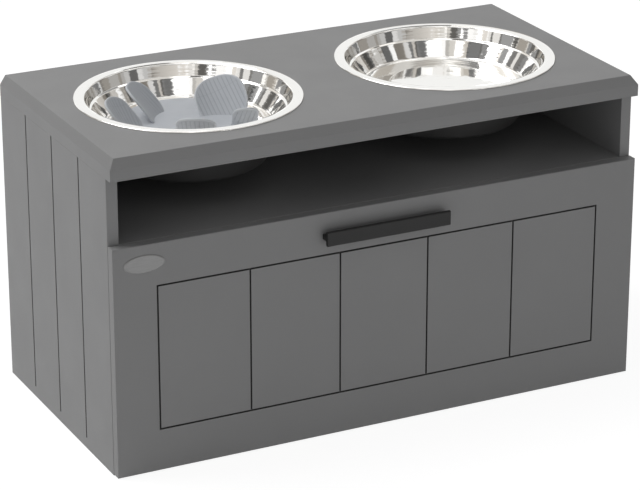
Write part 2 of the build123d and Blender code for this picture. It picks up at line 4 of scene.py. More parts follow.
import bmesh
import bpy
import numpy as np
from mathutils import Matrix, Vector


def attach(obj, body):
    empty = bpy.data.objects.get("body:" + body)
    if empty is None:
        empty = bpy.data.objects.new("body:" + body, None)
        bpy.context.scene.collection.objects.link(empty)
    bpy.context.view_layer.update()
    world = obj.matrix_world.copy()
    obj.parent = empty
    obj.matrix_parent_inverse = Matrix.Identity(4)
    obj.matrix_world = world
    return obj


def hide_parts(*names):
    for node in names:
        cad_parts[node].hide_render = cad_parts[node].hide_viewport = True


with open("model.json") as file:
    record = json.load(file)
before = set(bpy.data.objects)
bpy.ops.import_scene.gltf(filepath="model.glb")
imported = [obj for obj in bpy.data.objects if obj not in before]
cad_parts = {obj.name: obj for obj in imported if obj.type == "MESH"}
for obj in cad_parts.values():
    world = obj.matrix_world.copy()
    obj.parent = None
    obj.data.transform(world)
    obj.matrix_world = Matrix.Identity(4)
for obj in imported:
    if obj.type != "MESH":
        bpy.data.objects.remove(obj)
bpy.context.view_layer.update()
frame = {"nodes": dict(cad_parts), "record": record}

# raised feeder cabinet: two steel bowls, a slow feeding insert, an open shelf and a drawer
# metres, +X right, +Y to the rear, +Z up, origin on the floor under the middle

scene = bpy.context.scene
scene.view_settings.view_transform = "Standard"
print("stage: frame loaded,", len(frame["nodes"]), "nodes")


# a node with its settings and its unlinked inputs
def addNode(tree, kind, inputs=None, **settings):
    node = tree.nodes.new(kind)
    for key, value in settings.items():
        setattr(node, key, value)
    for key, value in (inputs or {}).items():
        node.inputs[key].default_value = value
    return node


def join(tree, source, target):
    tree.links.new(source, target)


# one colour per stop along a ramp
def addRamp(tree, stops, interpolation="LINEAR"):
    node = tree.nodes.new("ShaderNodeValToRGB")
    ramp = node.color_ramp
    ramp.interpolation = interpolation
    while len(ramp.elements) < len(stops):
        ramp.elements.new(0.5)
    for element, (place, colour) in zip(ramp.elements, stops):
        element.position = place
        element.color = (*colour, 1.0)
    return node


# a sum on one or two values, each a number or a link
def addMath(tree, operation, *values):
    node = addNode(tree, "ShaderNodeMath", operation=operation)
    for key, value in enumerate(values):
        if isinstance(value, (int, float)):
            node.inputs[key].default_value = value
        else:
            join(tree, value, node.inputs[key])
    return node.outputs[0]


# a smooth bump of height 1 where the value is within reach of zero
def addPulse(tree, value, reach):
    size = addMath(tree, "ABSOLUTE", value)
    fall = {"From Min": reach, "From Max": 0.0}
    node = addNode(tree, "ShaderNodeMapRange", fall, interpolation_type="SMOOTHSTEP")
    join(tree, size, node.inputs["Value"])
    return node.outputs[0]


# 0 at the first value and 1 at the second, level outside them
def addSlope(tree, value, start, full):
    node = addNode(tree, "ShaderNodeMapRange", {"From Min": start, "From Max": full})
    join(tree, value, node.inputs["Value"])
    return node.outputs[0]


# a value between 0 and 1 carried over to low and high
def spread(tree, value, low, high):
    node = addNode(tree, "ShaderNodeMapRange", {"To Min": low, "To Max": high})
    join(tree, value, node.inputs["Value"])
    return node.outputs[0]


# each colour is a tuple or a link, and the factor a number or a link
def mixColours(tree, factor, first, second, mode="MIX"):
    node = addNode(tree, "ShaderNodeMix", data_type="RGBA", blend_type=mode)
    for value, key in ((factor, 0), (first, 6), (second, 7)):
        if isinstance(value, (int, float)):
            node.inputs[key].default_value = value
        elif isinstance(value, tuple):
            node.inputs[key].default_value = (*value, 1.0)
        else:
            join(tree, value, node.inputs[key])
    return node.outputs[2]


# camera

cameraView = {
    "place": (-1.27074, -2.54252, 1.26090),
    "yaw": 0.46287,  # radians to the right of straight back
    "pitch": 0.37216,  # radians below level
    "lens": 160.106,  # mm
    "sensor": 36.0,  # mm wide
    "reach": 50.0,
}


def makeCamera():
    data = bpy.data.cameras.new("camera")
    data.sensor_width = cameraView["sensor"]
    data.lens = cameraView["lens"]
    data.clip_end = cameraView["reach"]
    camera = bpy.data.objects.new("camera", data)
    scene.collection.objects.link(camera)
    yaw, pitch = cameraView["yaw"], cameraView["pitch"]
    level = math.cos(pitch)
    forward = Vector((math.sin(yaw) * level, math.cos(yaw) * level, -math.sin(pitch)))
    camera.location = cameraView["place"]
    camera.rotation_euler = forward.to_track_quat("-Z", "Y").to_euler()
    scene.camera = camera


# room and lamps

room = {
    "ambient": 0.32,  # what matt surfaces get from every side
    "blockScale": 3.4,
    "blockScatter": 0.9,
    "blockStretch": 1.3,
    "speckScale": 7.0,
    "swirlScale": 2.4,
    "swirl": 0.35,
    "blockShades": [
        (0.0, (0.22, 0.22, 0.22)),
        (0.11, (0.55, 0.53, 0.50)),
        (0.27, (0.90, 0.88, 0.85)),
        (0.50, (1.15, 1.14, 1.13)),
        (0.78, (1.50, 1.50, 1.50)),
    ],
    "speckShades": [
        (0.0, (0.25, 0.25, 0.25)),
        (0.14, (0.75, 0.72, 0.68)),
        (0.36, (1.0, 1.0, 1.0)),
        (0.70, (1.35, 1.35, 1.35)),
    ],
    "litTone": (1.00, 1.00, 1.00),
    "shadedTone": (0.50, 0.50, 0.50),  # on the side away from the key lamp
    "shadeSlope": (0.2, 0.8),  # cosines of the angle to that side, where the shade starts and is full
    "panelAzimuth": 1.108,  # radians, straight on from the camera
    "panelHeight": 0.36,
    "panelWidth": 0.50,
    "panelRise": 0.34,
    "panelSlope": (0.04, 0.16),
    "panelTone": (1.02, 1.02, 1.01),
    "floorSize": 14.0,
    "floorAlbedo": 0.88,
    "floorSeen": 0.24,  # share of the light that the camera sees, so that shadows stay soft
    "floorLift": 0.90,  # brightness that the camera sees on the floor in any case
    "keyPlace": (-1.5, 1.0, 3.0),
    "keySize": 1.7,
    "keyPower": 50.0,
    "fillPlace": (0.5, -3.0, 0.30),
    "fillSize": 0.7,
    "fillPower": 5.0,
    "aim": (0.0, 0.0, 0.2),
    "white": (1.0, 1.0, 1.0, 1.0),
}


# studio that polished metal shows: bright, darker away from the key lamp, broken into random blocks,
# with one white panel behind; matt surfaces get an even ambient light and the camera sees white
def makeWorld():
    world = bpy.data.worlds.new("studio")
    scene.world = world
    world.use_nodes = True
    tree = world.node_tree
    tree.nodes.clear()
    output = tree.nodes.new("ShaderNodeOutputWorld")
    rays = tree.nodes.new("ShaderNodeLightPath")
    direction = tree.nodes.new("ShaderNodeTexCoord")
    parts = tree.nodes.new("ShaderNodeSeparateXYZ")
    join(tree, direction.outputs["Generated"], parts.inputs[0])
    around = addMath(tree, "ARCTAN2", parts.outputs["Y"], parts.outputs["X"])

    away = -Vector(room["keyPlace"][:2]).normalized()
    facing = addNode(tree, "ShaderNodeVectorMath", {1: (away.x, away.y, 0.0)}, operation="DOT_PRODUCT")
    join(tree, direction.outputs["Generated"], facing.inputs[0])
    shaded = addSlope(tree, facing.outputs["Value"], *room["shadeSlope"])
    tone = mixColours(tree, shaded, room["litTone"], room["shadedTone"])

    column = tree.nodes.new("ShaderNodeCombineXYZ")
    join(tree, around, column.inputs["X"])
    join(tree, addMath(tree, "MULTIPLY", parts.outputs["Z"], room["blockStretch"]), column.inputs["Y"])
    scatter = {"Scale": room["blockScale"], "Randomness": room["blockScatter"]}
    blocks = addNode(tree, "ShaderNodeTexVoronoi", scatter, voronoi_dimensions="2D", distance="CHEBYCHEV")
    join(tree, column.outputs[0], blocks.inputs["Vector"])
    wander = addNode(tree, "ShaderNodeTexNoise", {"Scale": room["swirlScale"], "Detail": 3.0})
    join(tree, column.outputs[0], wander.inputs["Vector"])
    swirled = addNode(tree, "ShaderNodeMix", {0: room["swirl"]}, data_type="VECTOR")
    join(tree, column.outputs[0], swirled.inputs[4])
    join(tree, wander.outputs["Color"], swirled.inputs[5])
    specks = addNode(tree, "ShaderNodeTexVoronoi", {"Scale": room["speckScale"]}, voronoi_dimensions="2D")
    join(tree, swirled.outputs[1], specks.inputs["Vector"])
    for pattern, channel, key in ((blocks, 0, "blockShades"), (specks, 1, "speckShades")):
        cell = tree.nodes.new("ShaderNodeSeparateColor")
        join(tree, pattern.outputs["Color"], cell.inputs[0])
        shades = addRamp(tree, room[key], "CONSTANT")
        join(tree, cell.outputs[channel], shades.inputs[0])
        tone = mixColours(tree, 1.0, tone, shades.outputs[0], "MULTIPLY")

    aside = addPulse(tree, addMath(tree, "SUBTRACT", around, room["panelAzimuth"]), room["panelWidth"])
    higher = addMath(tree, "SUBTRACT", parts.outputs["Z"], room["panelHeight"])
    apart = addPulse(tree, higher, room["panelRise"])
    panel = addSlope(tree, addMath(tree, "MULTIPLY", aside, apart), *room["panelSlope"])
    tone = mixColours(tree, panel, tone, room["panelTone"])

    matt = addNode(tree, "ShaderNodeBackground", {"Color": room["white"], "Strength": room["ambient"]})
    shiny = addNode(tree, "ShaderNodeBackground", {"Strength": 1.0})
    join(tree, tone, shiny.inputs["Color"])
    white = addNode(tree, "ShaderNodeBackground", {"Color": room["white"], "Strength": 1.0})
    mirrored = addMath(tree, "MAXIMUM", rays.outputs["Is Glossy Ray"], rays.outputs["Is Transmission Ray"])
    first = tree.nodes.new("ShaderNodeMixShader")
    join(tree, mirrored, first.inputs[0])
    join(tree, matt.outputs[0], first.inputs[1])
    join(tree, shiny.outputs[0], first.inputs[2])
    second = tree.nodes.new("ShaderNodeMixShader")
    join(tree, rays.outputs["Is Camera Ray"], second.inputs[0])
    join(tree, first.outputs[0], second.inputs[1])
    join(tree, white.outputs[0], second.inputs[2])
    join(tree, second.outputs[0], output.inputs["Surface"])


# floor: a flat square, matt and pale, lifted to white for the camera and for shiny rays
def makeFloor():
    half = room["floorSize"] / 2
    corners = [(-half, -half, 0), (half, -half, 0), (half, half, 0), (-half, half, 0)]
    mesh = bpy.data.meshes.new("studioFloor")
    mesh.from_pydata(corners, [], [(0, 1, 2, 3)])
    floor = bpy.data.objects.new("studioFloor", mesh)
    scene.collection.objects.link(floor)

    material = bpy.data.materials.new("paleFloor")
    material.use_nodes = True
    tree = material.node_tree
    tree.nodes.clear()
    output = tree.nodes.new("ShaderNodeOutputMaterial")
    rays = tree.nodes.new("ShaderNodeLightPath")
    shade, seen = room["floorAlbedo"], room["floorSeen"]
    bounce = addNode(tree, "ShaderNodeBsdfDiffuse", {"Color": (shade, shade, shade, 1.0)})
    matt = addNode(tree, "ShaderNodeBsdfDiffuse", {"Color": (seen, seen, seen, 1.0)})
    lift = addNode(tree, "ShaderNodeEmission", {"Color": room["white"], "Strength": room["floorLift"]})
    pale = tree.nodes.new("ShaderNodeAddShader")
    join(tree, matt.outputs[0], pale.inputs[0])
    join(tree, lift.outputs[0], pale.inputs[1])
    looked = addMath(tree, "MAXIMUM", rays.outputs["Is Camera Ray"], rays.outputs["Is Glossy Ray"])
    mixed = tree.nodes.new("ShaderNodeMixShader")
    join(tree, looked, mixed.inputs[0])
    join(tree, bounce.outputs[0], mixed.inputs[1])
    join(tree, pale.outputs[0], mixed.inputs[2])
    join(tree, mixed.outputs[0], output.inputs["Surface"])
    floor.data.materials.append(material)


def makeLamp(name, place, size, power):
    data = bpy.data.lights.new(name, "AREA")
    data.shape = "SQUARE"
    data.size = size
    data.energy = power
    lamp = bpy.data.objects.new(name, data)
    scene.collection.objects.link(lamp)
    lamp.location = place
    lamp.rotation_euler = (Vector(room["aim"]) - Vector(place)).to_track_quat("-Z", "Y").to_euler()


makeCamera()
makeWorld()
makeFloor()
makeLamp("keyLamp", room["keyPlace"], room["keySize"], room["keyPower"])
makeLamp("fillLamp", room["fillPlace"], room["fillSize"], room["fillPower"])
print("stage: camera, room and lamps")


# materials

def startMaterial(name, colour, metallic=0.0, roughness=0.5):
    material = bpy.data.materials.new(name)
    material.use_nodes = True
    tree = material.node_tree
    shader = tree.nodes["Principled BSDF"]
    shader.inputs["Base Color"].default_value = (*colour, 1.0)
    shader.inputs["Metallic"].default_value = metallic
    shader.inputs["Roughness"].default_value = roughness
    place = tree.nodes.new("ShaderNodeTexCoord").outputs["Object"]
    return material, tree, shader, place


# noise in object space, with its pattern stretched along each axis
def addNoise(tree, place, scale, detail=2.0, stretch=(1.0, 1.0, 1.0)):
    mapping = addNode(tree, "ShaderNodeMapping", {"Scale": stretch})
    join(tree, place, mapping.inputs["Vector"])
    noise = addNode(tree, "ShaderNodeTexNoise", {"Scale": scale, "Detail": detail})
    join(tree, mapping.outputs[0], noise.inputs["Vector"])
    return noise.outputs["Fac"]


def addBump(tree, height, strength, distance, before=None):
    bump = addNode(tree, "ShaderNodeBump", {"Strength": strength, "Distance": distance})
    join(tree, height, bump.inputs["Height"])
    if before is not None:
        join(tree, before, bump.inputs["Normal"])
    return bump.outputs["Normal"]


# 1 where the surface turns a sharp corner within reach, 0 on flats
def addEdgeMask(tree, reach, low, high):
    rounded = addNode(tree, "ShaderNodeBevel", {"Radius": reach}, samples=6)
    flat = tree.nodes.new("ShaderNodeNewGeometry")
    dot = addNode(tree, "ShaderNodeVectorMath", operation="DOT_PRODUCT")
    join(tree, rounded.outputs[0], dot.inputs[0])
    join(tree, flat.outputs["Normal"], dot.inputs[1])
    return addSlope(tree, dot.outputs["Value"], high, low), rounded.outputs[0]


# 0 deep in a groove, 1 on open faces
def addCrevice(tree, reach):
    shade = addNode(tree, "ShaderNodeAmbientOcclusion", {"Distance": reach}, samples=8, only_local=True)
    return shade.outputs["AO"]


paintLook = {
    "colour": (0.255, 0.255, 0.257),
    # near black painted shade for grooves and tight hollows, placed by ambient occlusion
    "paintedGrooveShade": (0.016, 0.016, 0.016),
    "grooveShadeReach": 0.0035,
    "grooveShadeSlope": (0.48, 0.85),  # openness at which the painted groove shade ends
    "wornColour": (0.36, 0.36, 0.36),
    "edgeRadius": 0.0011,
}


# satin paint: faint roller mottle, orange peel, softened edges, and a near black painted shade in grooves
# and tight hollows
def makePaint():
    colour = paintLook["colour"]
    material, tree, shader, place = startMaterial("greyPaint", colour, roughness=0.5)
    darker = tuple(c * 0.965 for c in colour)
    lighter = tuple(c * 1.03 for c in colour)
    base = mixColours(tree, addNoise(tree, place, 9.0, 4.0), darker, lighter)
    worn, rounded = addEdgeMask(tree, paintLook["edgeRadius"], 0.80, 0.985)
    breakUp = spread(tree, addNoise(tree, place, 60.0, 3.0), 0.0, 0.45)
    base = mixColours(tree, addMath(tree, "MULTIPLY", worn, breakUp), base, paintLook["wornColour"])
    # painted shade: the colour turns near black where ambient occlusion finds a groove or tight hollow
    openness = addSlope(tree, addCrevice(tree, paintLook["grooveShadeReach"]), *paintLook["grooveShadeSlope"])
    base = mixColours(tree, openness, paintLook["paintedGrooveShade"], base)
    join(tree, base, shader.inputs["Base Color"])
    join(tree, spread(tree, addNoise(tree, place, 25.0, 4.0), 0.44, 0.60), shader.inputs["Roughness"])
    peel = addBump(tree, addNoise(tree, place, 420.0, 2.0), 0.20, 0.00006, rounded)
    streak = addBump(tree, addNoise(tree, place, 90.0, 3.0), 0.14, 0.00012, peel)
    join(tree, streak, shader.inputs["Normal"])
    return material


# laminate: finer, flatter and a little shinier than the paint
def makeLaminate():
    material, tree, shader, place = startMaterial("greyLaminate", (0.235, 0.235, 0.240), roughness=0.42)
    fleck = addNoise(tree, place, 300.0, 3.0, (1.0, 0.25, 1.0))
    base = mixColours(tree, fleck, (0.222, 0.222, 0.227), (0.250, 0.250, 0.255))
    cloud = addNoise(tree, place, 7.0, 2.0)
    base = mixColours(tree, spread(tree, cloud, 0.0, 0.25), base, (0.205, 0.205, 0.210))
    join(tree, base, shader.inputs["Base Color"])
    join(tree, spread(tree, addNoise(tree, place, 120.0, 2.0), 0.34, 0.50), shader.inputs["Roughness"])
    _, rounded = addEdgeMask(tree, 0.0005, 0.8, 0.98)
    pores = addBump(tree, fleck, 0.25, 0.00005, rounded)
    join(tree, pores, shader.inputs["Normal"])
    return material


# beech: long grain lines with short darker flecks, along X for most pins
def makeBeech():
    material, tree, shader, place = startMaterial("rawBeech", (0.62, 0.45, 0.28), roughness=0.65)
    grain = addNoise(tree, place, 260.0, 4.0, (0.12, 1.0, 1.0))
    base = mixColours(tree, grain, (0.46, 0.30, 0.17), (0.72, 0.55, 0.36))
    fleck = addNode(tree, "ShaderNodeTexVoronoi", {"Scale": 500.0})
    mapping = addNode(tree, "ShaderNodeMapping", {"Scale": (0.2, 1.0, 1.0)})
    join(tree, place, mapping.inputs["Vector"])
    join(tree, mapping.outputs[0], fleck.inputs["Vector"])
    base = mixColours(tree, spread(tree, fleck.outputs["Distance"], 0.35, 0.0), base, (0.33, 0.19, 0.10))
    join(tree, base, shader.inputs["Base Color"])
    join(tree, addBump(tree, grain, 0.5, 0.00015), shader.inputs["Normal"])
    return material


# metal finishes: brush lines along one axis, cloudy roughness and a slight tone change
def makeMetal(name, colour, roughness, stretch=(1.0, 1.0, 1.0), scale=400.0, metallic=1.0, depth=0.00004):
    material, tree, shader, place = startMaterial(name, colour, metallic, roughness)
    lines = addNoise(tree, place, scale, 3.0, stretch)
    darker = tuple(c * 0.84 for c in colour)
    lighter = tuple(min(1.0, c * 1.10) for c in colour)
    base = mixColours(tree, lines, darker, lighter)
    cloud = addNoise(tree, place, 45.0, 3.0)
    base = mixColours(tree, spread(tree, cloud, 0.0, 0.3), base, darker)
    join(tree, base, shader.inputs["Base Color"])
    join(tree, spread(tree, cloud, roughness * 0.75, roughness * 1.3), shader.inputs["Roughness"])
    _, rounded = addEdgeMask(tree, 0.0004, 0.8, 0.98)
    join(tree, addBump(tree, lines, 0.35, depth, rounded), shader.inputs["Normal"])
    return material


# powder coat: a fine even pebble over near black
def makePowderCoat():
    material, tree, shader, place = startMaterial("blackPowderCoat", (0.015, 0.015, 0.015), roughness=0.42)
    pebble = addNoise(tree, place, 1300.0, 2.0)
    base = mixColours(tree, pebble, (0.011, 0.011, 0.011), (0.020, 0.020, 0.020))
    worn, rounded = addEdgeMask(tree, 0.0006, 0.80, 0.98)
    base = mixColours(tree, spread(tree, worn, 0.0, 0.25), base, (0.07, 0.07, 0.07))
    join(tree, base, shader.inputs["Base Color"])
    shader.inputs["Specular IOR Level"].default_value = 0.32
    join(tree, spread(tree, addNoise(tree, place, 70.0, 3.0), 0.38, 0.52), shader.inputs["Roughness"])
    join(tree, addBump(tree, pebble, 0.4, 0.00005, rounded), shader.inputs["Normal"])
    return material


# nylon: slightly waxy, with a moulded skin
def makeNylon():
    material, tree, shader, place = startMaterial("whiteNylon", (0.74, 0.74, 0.71), roughness=0.38)
    cloud = addNoise(tree, place, 90.0, 3.0)
    join(tree, mixColours(tree, cloud, (0.68, 0.68, 0.64), (0.79, 0.79, 0.76)), shader.inputs["Base Color"])
    shader.inputs["Subsurface Weight"].default_value = 0.08
    shader.inputs["Subsurface Radius"].default_value = (0.002, 0.002, 0.0018)
    join(tree, spread(tree, cloud, 0.30, 0.46), shader.inputs["Roughness"])
    _, rounded = addEdgeMask(tree, 0.0004, 0.8, 0.98)
    skin = addBump(tree, addNoise(tree, place, 700.0, 2.0), 0.2, 0.00005, rounded)
    join(tree, skin, shader.inputs["Normal"])
    return material


finishes = {
    "grey_paint": makePaint(),
    "grey_board": makeLaminate(),
    "beech": makeBeech(),
    "coated_steel": makeMetal("whiteEpoxySteel", (0.76, 0.76, 0.74), 0.35, scale=250.0, metallic=0.0,
                              depth=0.00003),
    "zinc_cast": makeMetal("zincCasting", (0.52, 0.52, 0.54), 0.45, scale=600.0),
    "plated_steel": makeMetal("platedSteel", (0.62, 0.61, 0.58), 0.28, (1.0, 0.3, 1.0), 700.0),
    "roller_plastic": makeNylon(),
    "black_metal": makePowderCoat(),
}

slotOfNode = {part["node"]: part["material_slot"] for part in frame["record"]["subparts"]}


def dressNode(name, material):
    data = frame["nodes"][name].data
    if not data.materials:
        data.materials.append(material)
    for index in range(len(data.materials)):
        data.materials[index] = material


for nodeName, slotName in slotOfNode.items():
    if slotName in finishes:
        dressNode(nodeName, finishes[slotName])
print("stage: boards, metal and plastic dressed")


# steel bowls

# steel: spun lines round the bowl's own axis, soft dents and a few cloudy marks
def makeBowlSteel(name, centre, look):
    colour, roughness, spun = look["colour"], look["roughness"], look["spun"]
    material, tree, shader, place = startMaterial(name, colour, 1.0, roughness)
    mapping = addNode(tree, "ShaderNodeMapping", {"Location": (-centre[0], -centre[1], 0.0)})
    join(tree, place, mapping.inputs["Vector"])
    parts = tree.nodes.new("ShaderNodeSeparateXYZ")
    join(tree, mapping.outputs[0], parts.inputs[0])
    flat = tree.nodes.new("ShaderNodeCombineXYZ")
    join(tree, parts.outputs["X"], flat.inputs["X"])
    join(tree, parts.outputs["Y"], flat.inputs["Y"])
    radius = addNode(tree, "ShaderNodeVectorMath", operation="LENGTH")
    join(tree, flat.outputs[0], radius.inputs[0])
    ring = tree.nodes.new("ShaderNodeCombineXYZ")
    join(tree, radius.outputs["Value"], ring.inputs["X"])
    join(tree, parts.outputs["Z"], ring.inputs["Y"])
    lines = addNode(tree, "ShaderNodeTexNoise", {"Scale": 900.0, "Detail": 4.0})
    join(tree, ring.outputs[0], lines.inputs["Vector"])
    cloud = addNoise(tree, place, 18.0, 4.0)
    join(tree, mixColours(tree, cloud, tuple(c * 0.96 for c in colour), colour), shader.inputs["Base Color"])
    marks = spread(tree, addNoise(tree, place, 70.0, 5.0), roughness * 0.7, roughness * 1.5)
    join(tree, marks, shader.inputs["Roughness"])
    rings = addNode(tree, "ShaderNodeTexNoise", {"Scale": 210.0, "Detail": 2.0})
    join(tree, ring.outputs[0], rings.inputs["Vector"])
    turned = addBump(tree, lines.outputs["Fac"], spun, 0.00002)
    stepped = addBump(tree, rings.outputs["Fac"], spun, 0.00016, turned)
    dented = addBump(tree, addNoise(tree, place, 34.0, 3.0), look["dents"], 0.0006, stepped)
    join(tree, dented, shader.inputs["Normal"])
    return material


# a line through corners, each rounded by its own radius: straight runs and tangent arcs
def roundedLine(corners, radii, steps=10):
    points = [corners[0]]
    for before, corner, after, radius in zip(corners, corners[1:], corners[2:], radii):
        before, corner, after = (np.array(p, dtype=float) for p in (before, corner, after))
        inDirection = (corner - before) / np.linalg.norm(corner - before)
        outDirection = (after - corner) / np.linalg.norm(after - corner)
        turn = math.acos(np.clip(inDirection @ outDirection, -1.0, 1.0))
        cut = radius * math.tan(turn / 2)
        start, end = corner - inDirection * cut, corner + outDirection * cut
        middle = (outDirection - inDirection) / np.linalg.norm(outDirection - inDirection)
        centre = corner + middle * math.hypot(radius, cut)
        share = np.linspace(0.0, 1.0, steps)[:, None]
        chord = start * (1 - share) + end * share - centre
        points.extend(centre + chord / np.linalg.norm(chord, axis=1)[:, None] * radius)
    points.append(corners[-1])
    return np.array(points, dtype=float)


# the same line at about even steps, so that its surface shades evenly
def evenLine(points, step):
    lengths = np.concatenate(([0.0], np.cumsum(np.linalg.norm(np.diff(points, axis=0), axis=1))))
    places = np.union1d(np.arange(0.0, lengths[-1], step), lengths)
    return np.stack([np.interp(places, lengths, points[:, k]) for k in (0, 1)], axis=1)


# outline of a sheet along a line: half its thickness to each side, with a half round at the open end
def sheetOutline(line, thickness, capSteps=7):
    along = np.gradient(line, axis=0)
    along /= np.linalg.norm(along, axis=1)[:, None]
    side = np.stack([along[:, 1], -along[:, 0]], axis=1)
    half = thickness / 2
    angles = np.linspace(0.0, math.pi, capSteps)[1:-1, None]
    cap = line[0] + half * (side[0] * np.cos(angles) - along[0] * np.sin(angles))
    return np.concatenate([(line + side * half)[::-1], cap, line - side * half])


# neighbours in a grid of rows and wrapped columns as quads
def gridQuads(rows, columns):
    index = np.arange(rows * columns).reshape(rows, columns)
    index = np.concatenate([index, index[:, :1]], axis=1)
    return np.stack([index[:-1, :-1], index[:-1, 1:], index[1:, 1:], index[1:, :-1]], axis=-1).reshape(-1, 4)


# a closed surface from a grid of points
def gridPiece(name, grid, material):
    mesh = bpy.data.meshes.new(name)
    mesh.from_pydata(grid.reshape(-1, 3).tolist(), [], gridQuads(*grid.shape[:2]).tolist())
    return finishMesh(name, mesh, material)


# doubles at poles are merged and all faces turned outward
def finishMesh(name, mesh, material):
    work = bmesh.new()
    work.from_mesh(mesh)
    bmesh.ops.remove_doubles(work, verts=work.verts, dist=1e-6)
    bmesh.ops.dissolve_degenerate(work, edges=work.edges, dist=1e-7)
    bmesh.ops.recalc_face_normals(work, faces=work.faces)
    work.to_mesh(mesh)
    work.free()
    mesh.polygons.foreach_set("use_smooth", np.ones(len(mesh.polygons), dtype=bool))
    mesh.materials.append(material)
    piece = bpy.data.objects.new(name, mesh)
    scene.collection.objects.link(piece)
    return piece


# spun sheet: the outline's radius and height turned once about an upright axis
def spunGrid(outline, centre, segments):
    angles = np.linspace(0.0, 2 * math.pi, segments, endpoint=False)
    radius = np.maximum(outline[:, 0], 0.0)[:, None]
    x = centre[0] + radius * np.cos(angles)
    y = centre[1] + radius * np.sin(angles)
    z = np.broadcast_to(outline[:, 1][:, None], x.shape)
    return np.stack([x, y, z], axis=-1)


bowl = {
    "spacing": 0.300,
    "y": 0.006,
    "top": 0.340,
    "sheet": 0.0008,
    "rim": 0.1185,
    "mouth": 0.1073,
    "linerDepth": 0.0295,
    "stepTop": (0.1024, 0.0115),  # radius, and depth under the top
    "stepFoot": (0.1000, 0.0127),
    "floorRadius": 0.0875,
    "ringRadius": 0.0595,
    "middleRadius": 0.0570,
    "middleRise": 0.0018,
    "shellFlange": 0.1169,
    "shellNeck": 0.1093,
    "shoulder": (0.1058, 0.020),
    "shellFoot": 0.078,
    "shellDepth": 0.0675,
    "segments": 176,
    "linerLook": {"colour": (0.88, 0.875, 0.86), "roughness": 0.05, "spun": 0.42, "dents": 0.34},
    "shellLook": {"colour": (0.42, 0.42, 0.42), "roughness": 0.34, "spun": 0.5, "dents": 0.10},
}


# liner: rolled rim, crowned flange, stepped wall, floor ring and raised middle
def makeLiner(name, body, node, centre, material):
    t, top = bowl["sheet"], bowl["top"]
    rim = top + 1.5 * t
    outer = bowl["rim"] - t / 2
    floor = top - bowl["linerDepth"] - t / 2
    middle = floor + bowl["middleRise"]
    (stepTop, stepTopDepth), (stepFoot, stepFootDepth) = bowl["stepTop"], bowl["stepFoot"]
    corners = [
        (outer, top + 0.0002), (outer, rim - 0.0002), (outer - 0.0035, rim + 0.0004),
        (bowl["mouth"] + 0.003, rim + 0.0002), (bowl["mouth"], rim - 0.0006),
        (stepTop, top - stepTopDepth), (stepFoot, top - stepFootDepth),
        (bowl["floorRadius"], floor), (bowl["ringRadius"], floor),
        (bowl["middleRadius"], middle), (0.0, middle),
    ]
    radii = [0.0006, 0.003, 0.003, 0.0016, 0.001, 0.001, 0.005, 0.0012, 0.0012]
    line = evenLine(roundedLine(corners, radii), 0.0018)
    piece = gridPiece(name, spunGrid(sheetOutline(line, t), centre, bowl["segments"]), material)
    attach(piece, body)
    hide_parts(node)


# shell: a flange under the rim, a shoulder and a deep tapered cup
def makeShell(name, body, node, centre, material):
    t, top = bowl["sheet"], bowl["top"]
    base = top - bowl["shellDepth"] + t / 2
    shoulder, shoulderDepth = bowl["shoulder"]
    corners = [
        (bowl["shellFlange"], top + t / 2), (bowl["shellNeck"], top + t / 2),
        (shoulder, top - shoulderDepth), (bowl["shellFoot"], base), (0.0, base),
    ]
    line = evenLine(roundedLine(corners, [0.002, 0.012, 0.010]), 0.0025)
    piece = gridPiece(name, spunGrid(sheetOutline(line, t), centre, bowl["segments"]), material)
    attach(piece, body)
    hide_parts(node)


for side, sign in (("left", -1), ("right", 1)):
    centre = (sign * bowl["spacing"] / 2, bowl["y"])
    polished = makeBowlSteel(side + "PolishedSteel", centre, bowl["linerLook"])
    drawn = makeBowlSteel(side + "DrawnSteel", centre, bowl["shellLook"])
    makeLiner(side + "BowlLiner", side + "_bowl", side + "_bowl_liner", centre, polished)
    makeShell(side + "BowlShell", side + "_bowl", side + "_bowl_shell", centre, drawn)
print("stage: bowls spun")


# slow feeding insert

insert = {
    "floor": 0.3123,  # on the bowl's raised middle
    "baseRadius": 0.072,
    "baseThickness": 0.002,
    # per petal: degrees round the base, distance from its middle, degrees it leans to,
    # its roll in its own plane, half width, length and the slant of its ribs
    "petals": (
        (-4.0, 0.041, 57.0, -20.0, 0.0285, 0.046, 9.0),
        (139.0, 0.037, 142.0, 0.0, 0.0240, 0.045, 6.0),
        (184.0, 0.065, 135.0, -4.0, 0.0205, 0.042, -22.0),
        (254.0, 0.061, 240.0, 0.0, 0.0210, 0.040, 0.0),
        (309.0, 0.063, 252.0, 0.0, 0.0135, 0.040, 8.0),
    ),
    "below": 0.012,  # how far a petal's blank runs on below its root
    "tipShare": 0.9,  # corner radius in half widths
    "thickness": 0.0026,
    "curl": 0.050,
    "lean": 40.0,
    "ribPitch": 4.4,  # mm
    "ribReach": 0.70,  # mm to each side of its middle
    "ribDepth": 0.30,  # mm
    "partLine": 29.0,  # mm up the petal
    "partReach": 0.28,  # mm
    "ribFade": (0.0020, 0.0012),  # how far in a rib starts, and over what length it deepens
    "ribShadeSlope": (2.2, 3.4),  # mm from the edge, where the painted shade in the ribs and part line starts and is full
    "edgeHighlightSlope": (1.9, 0.9),  # mm from the edge, where the painted highlight along the rim starts and is full
}
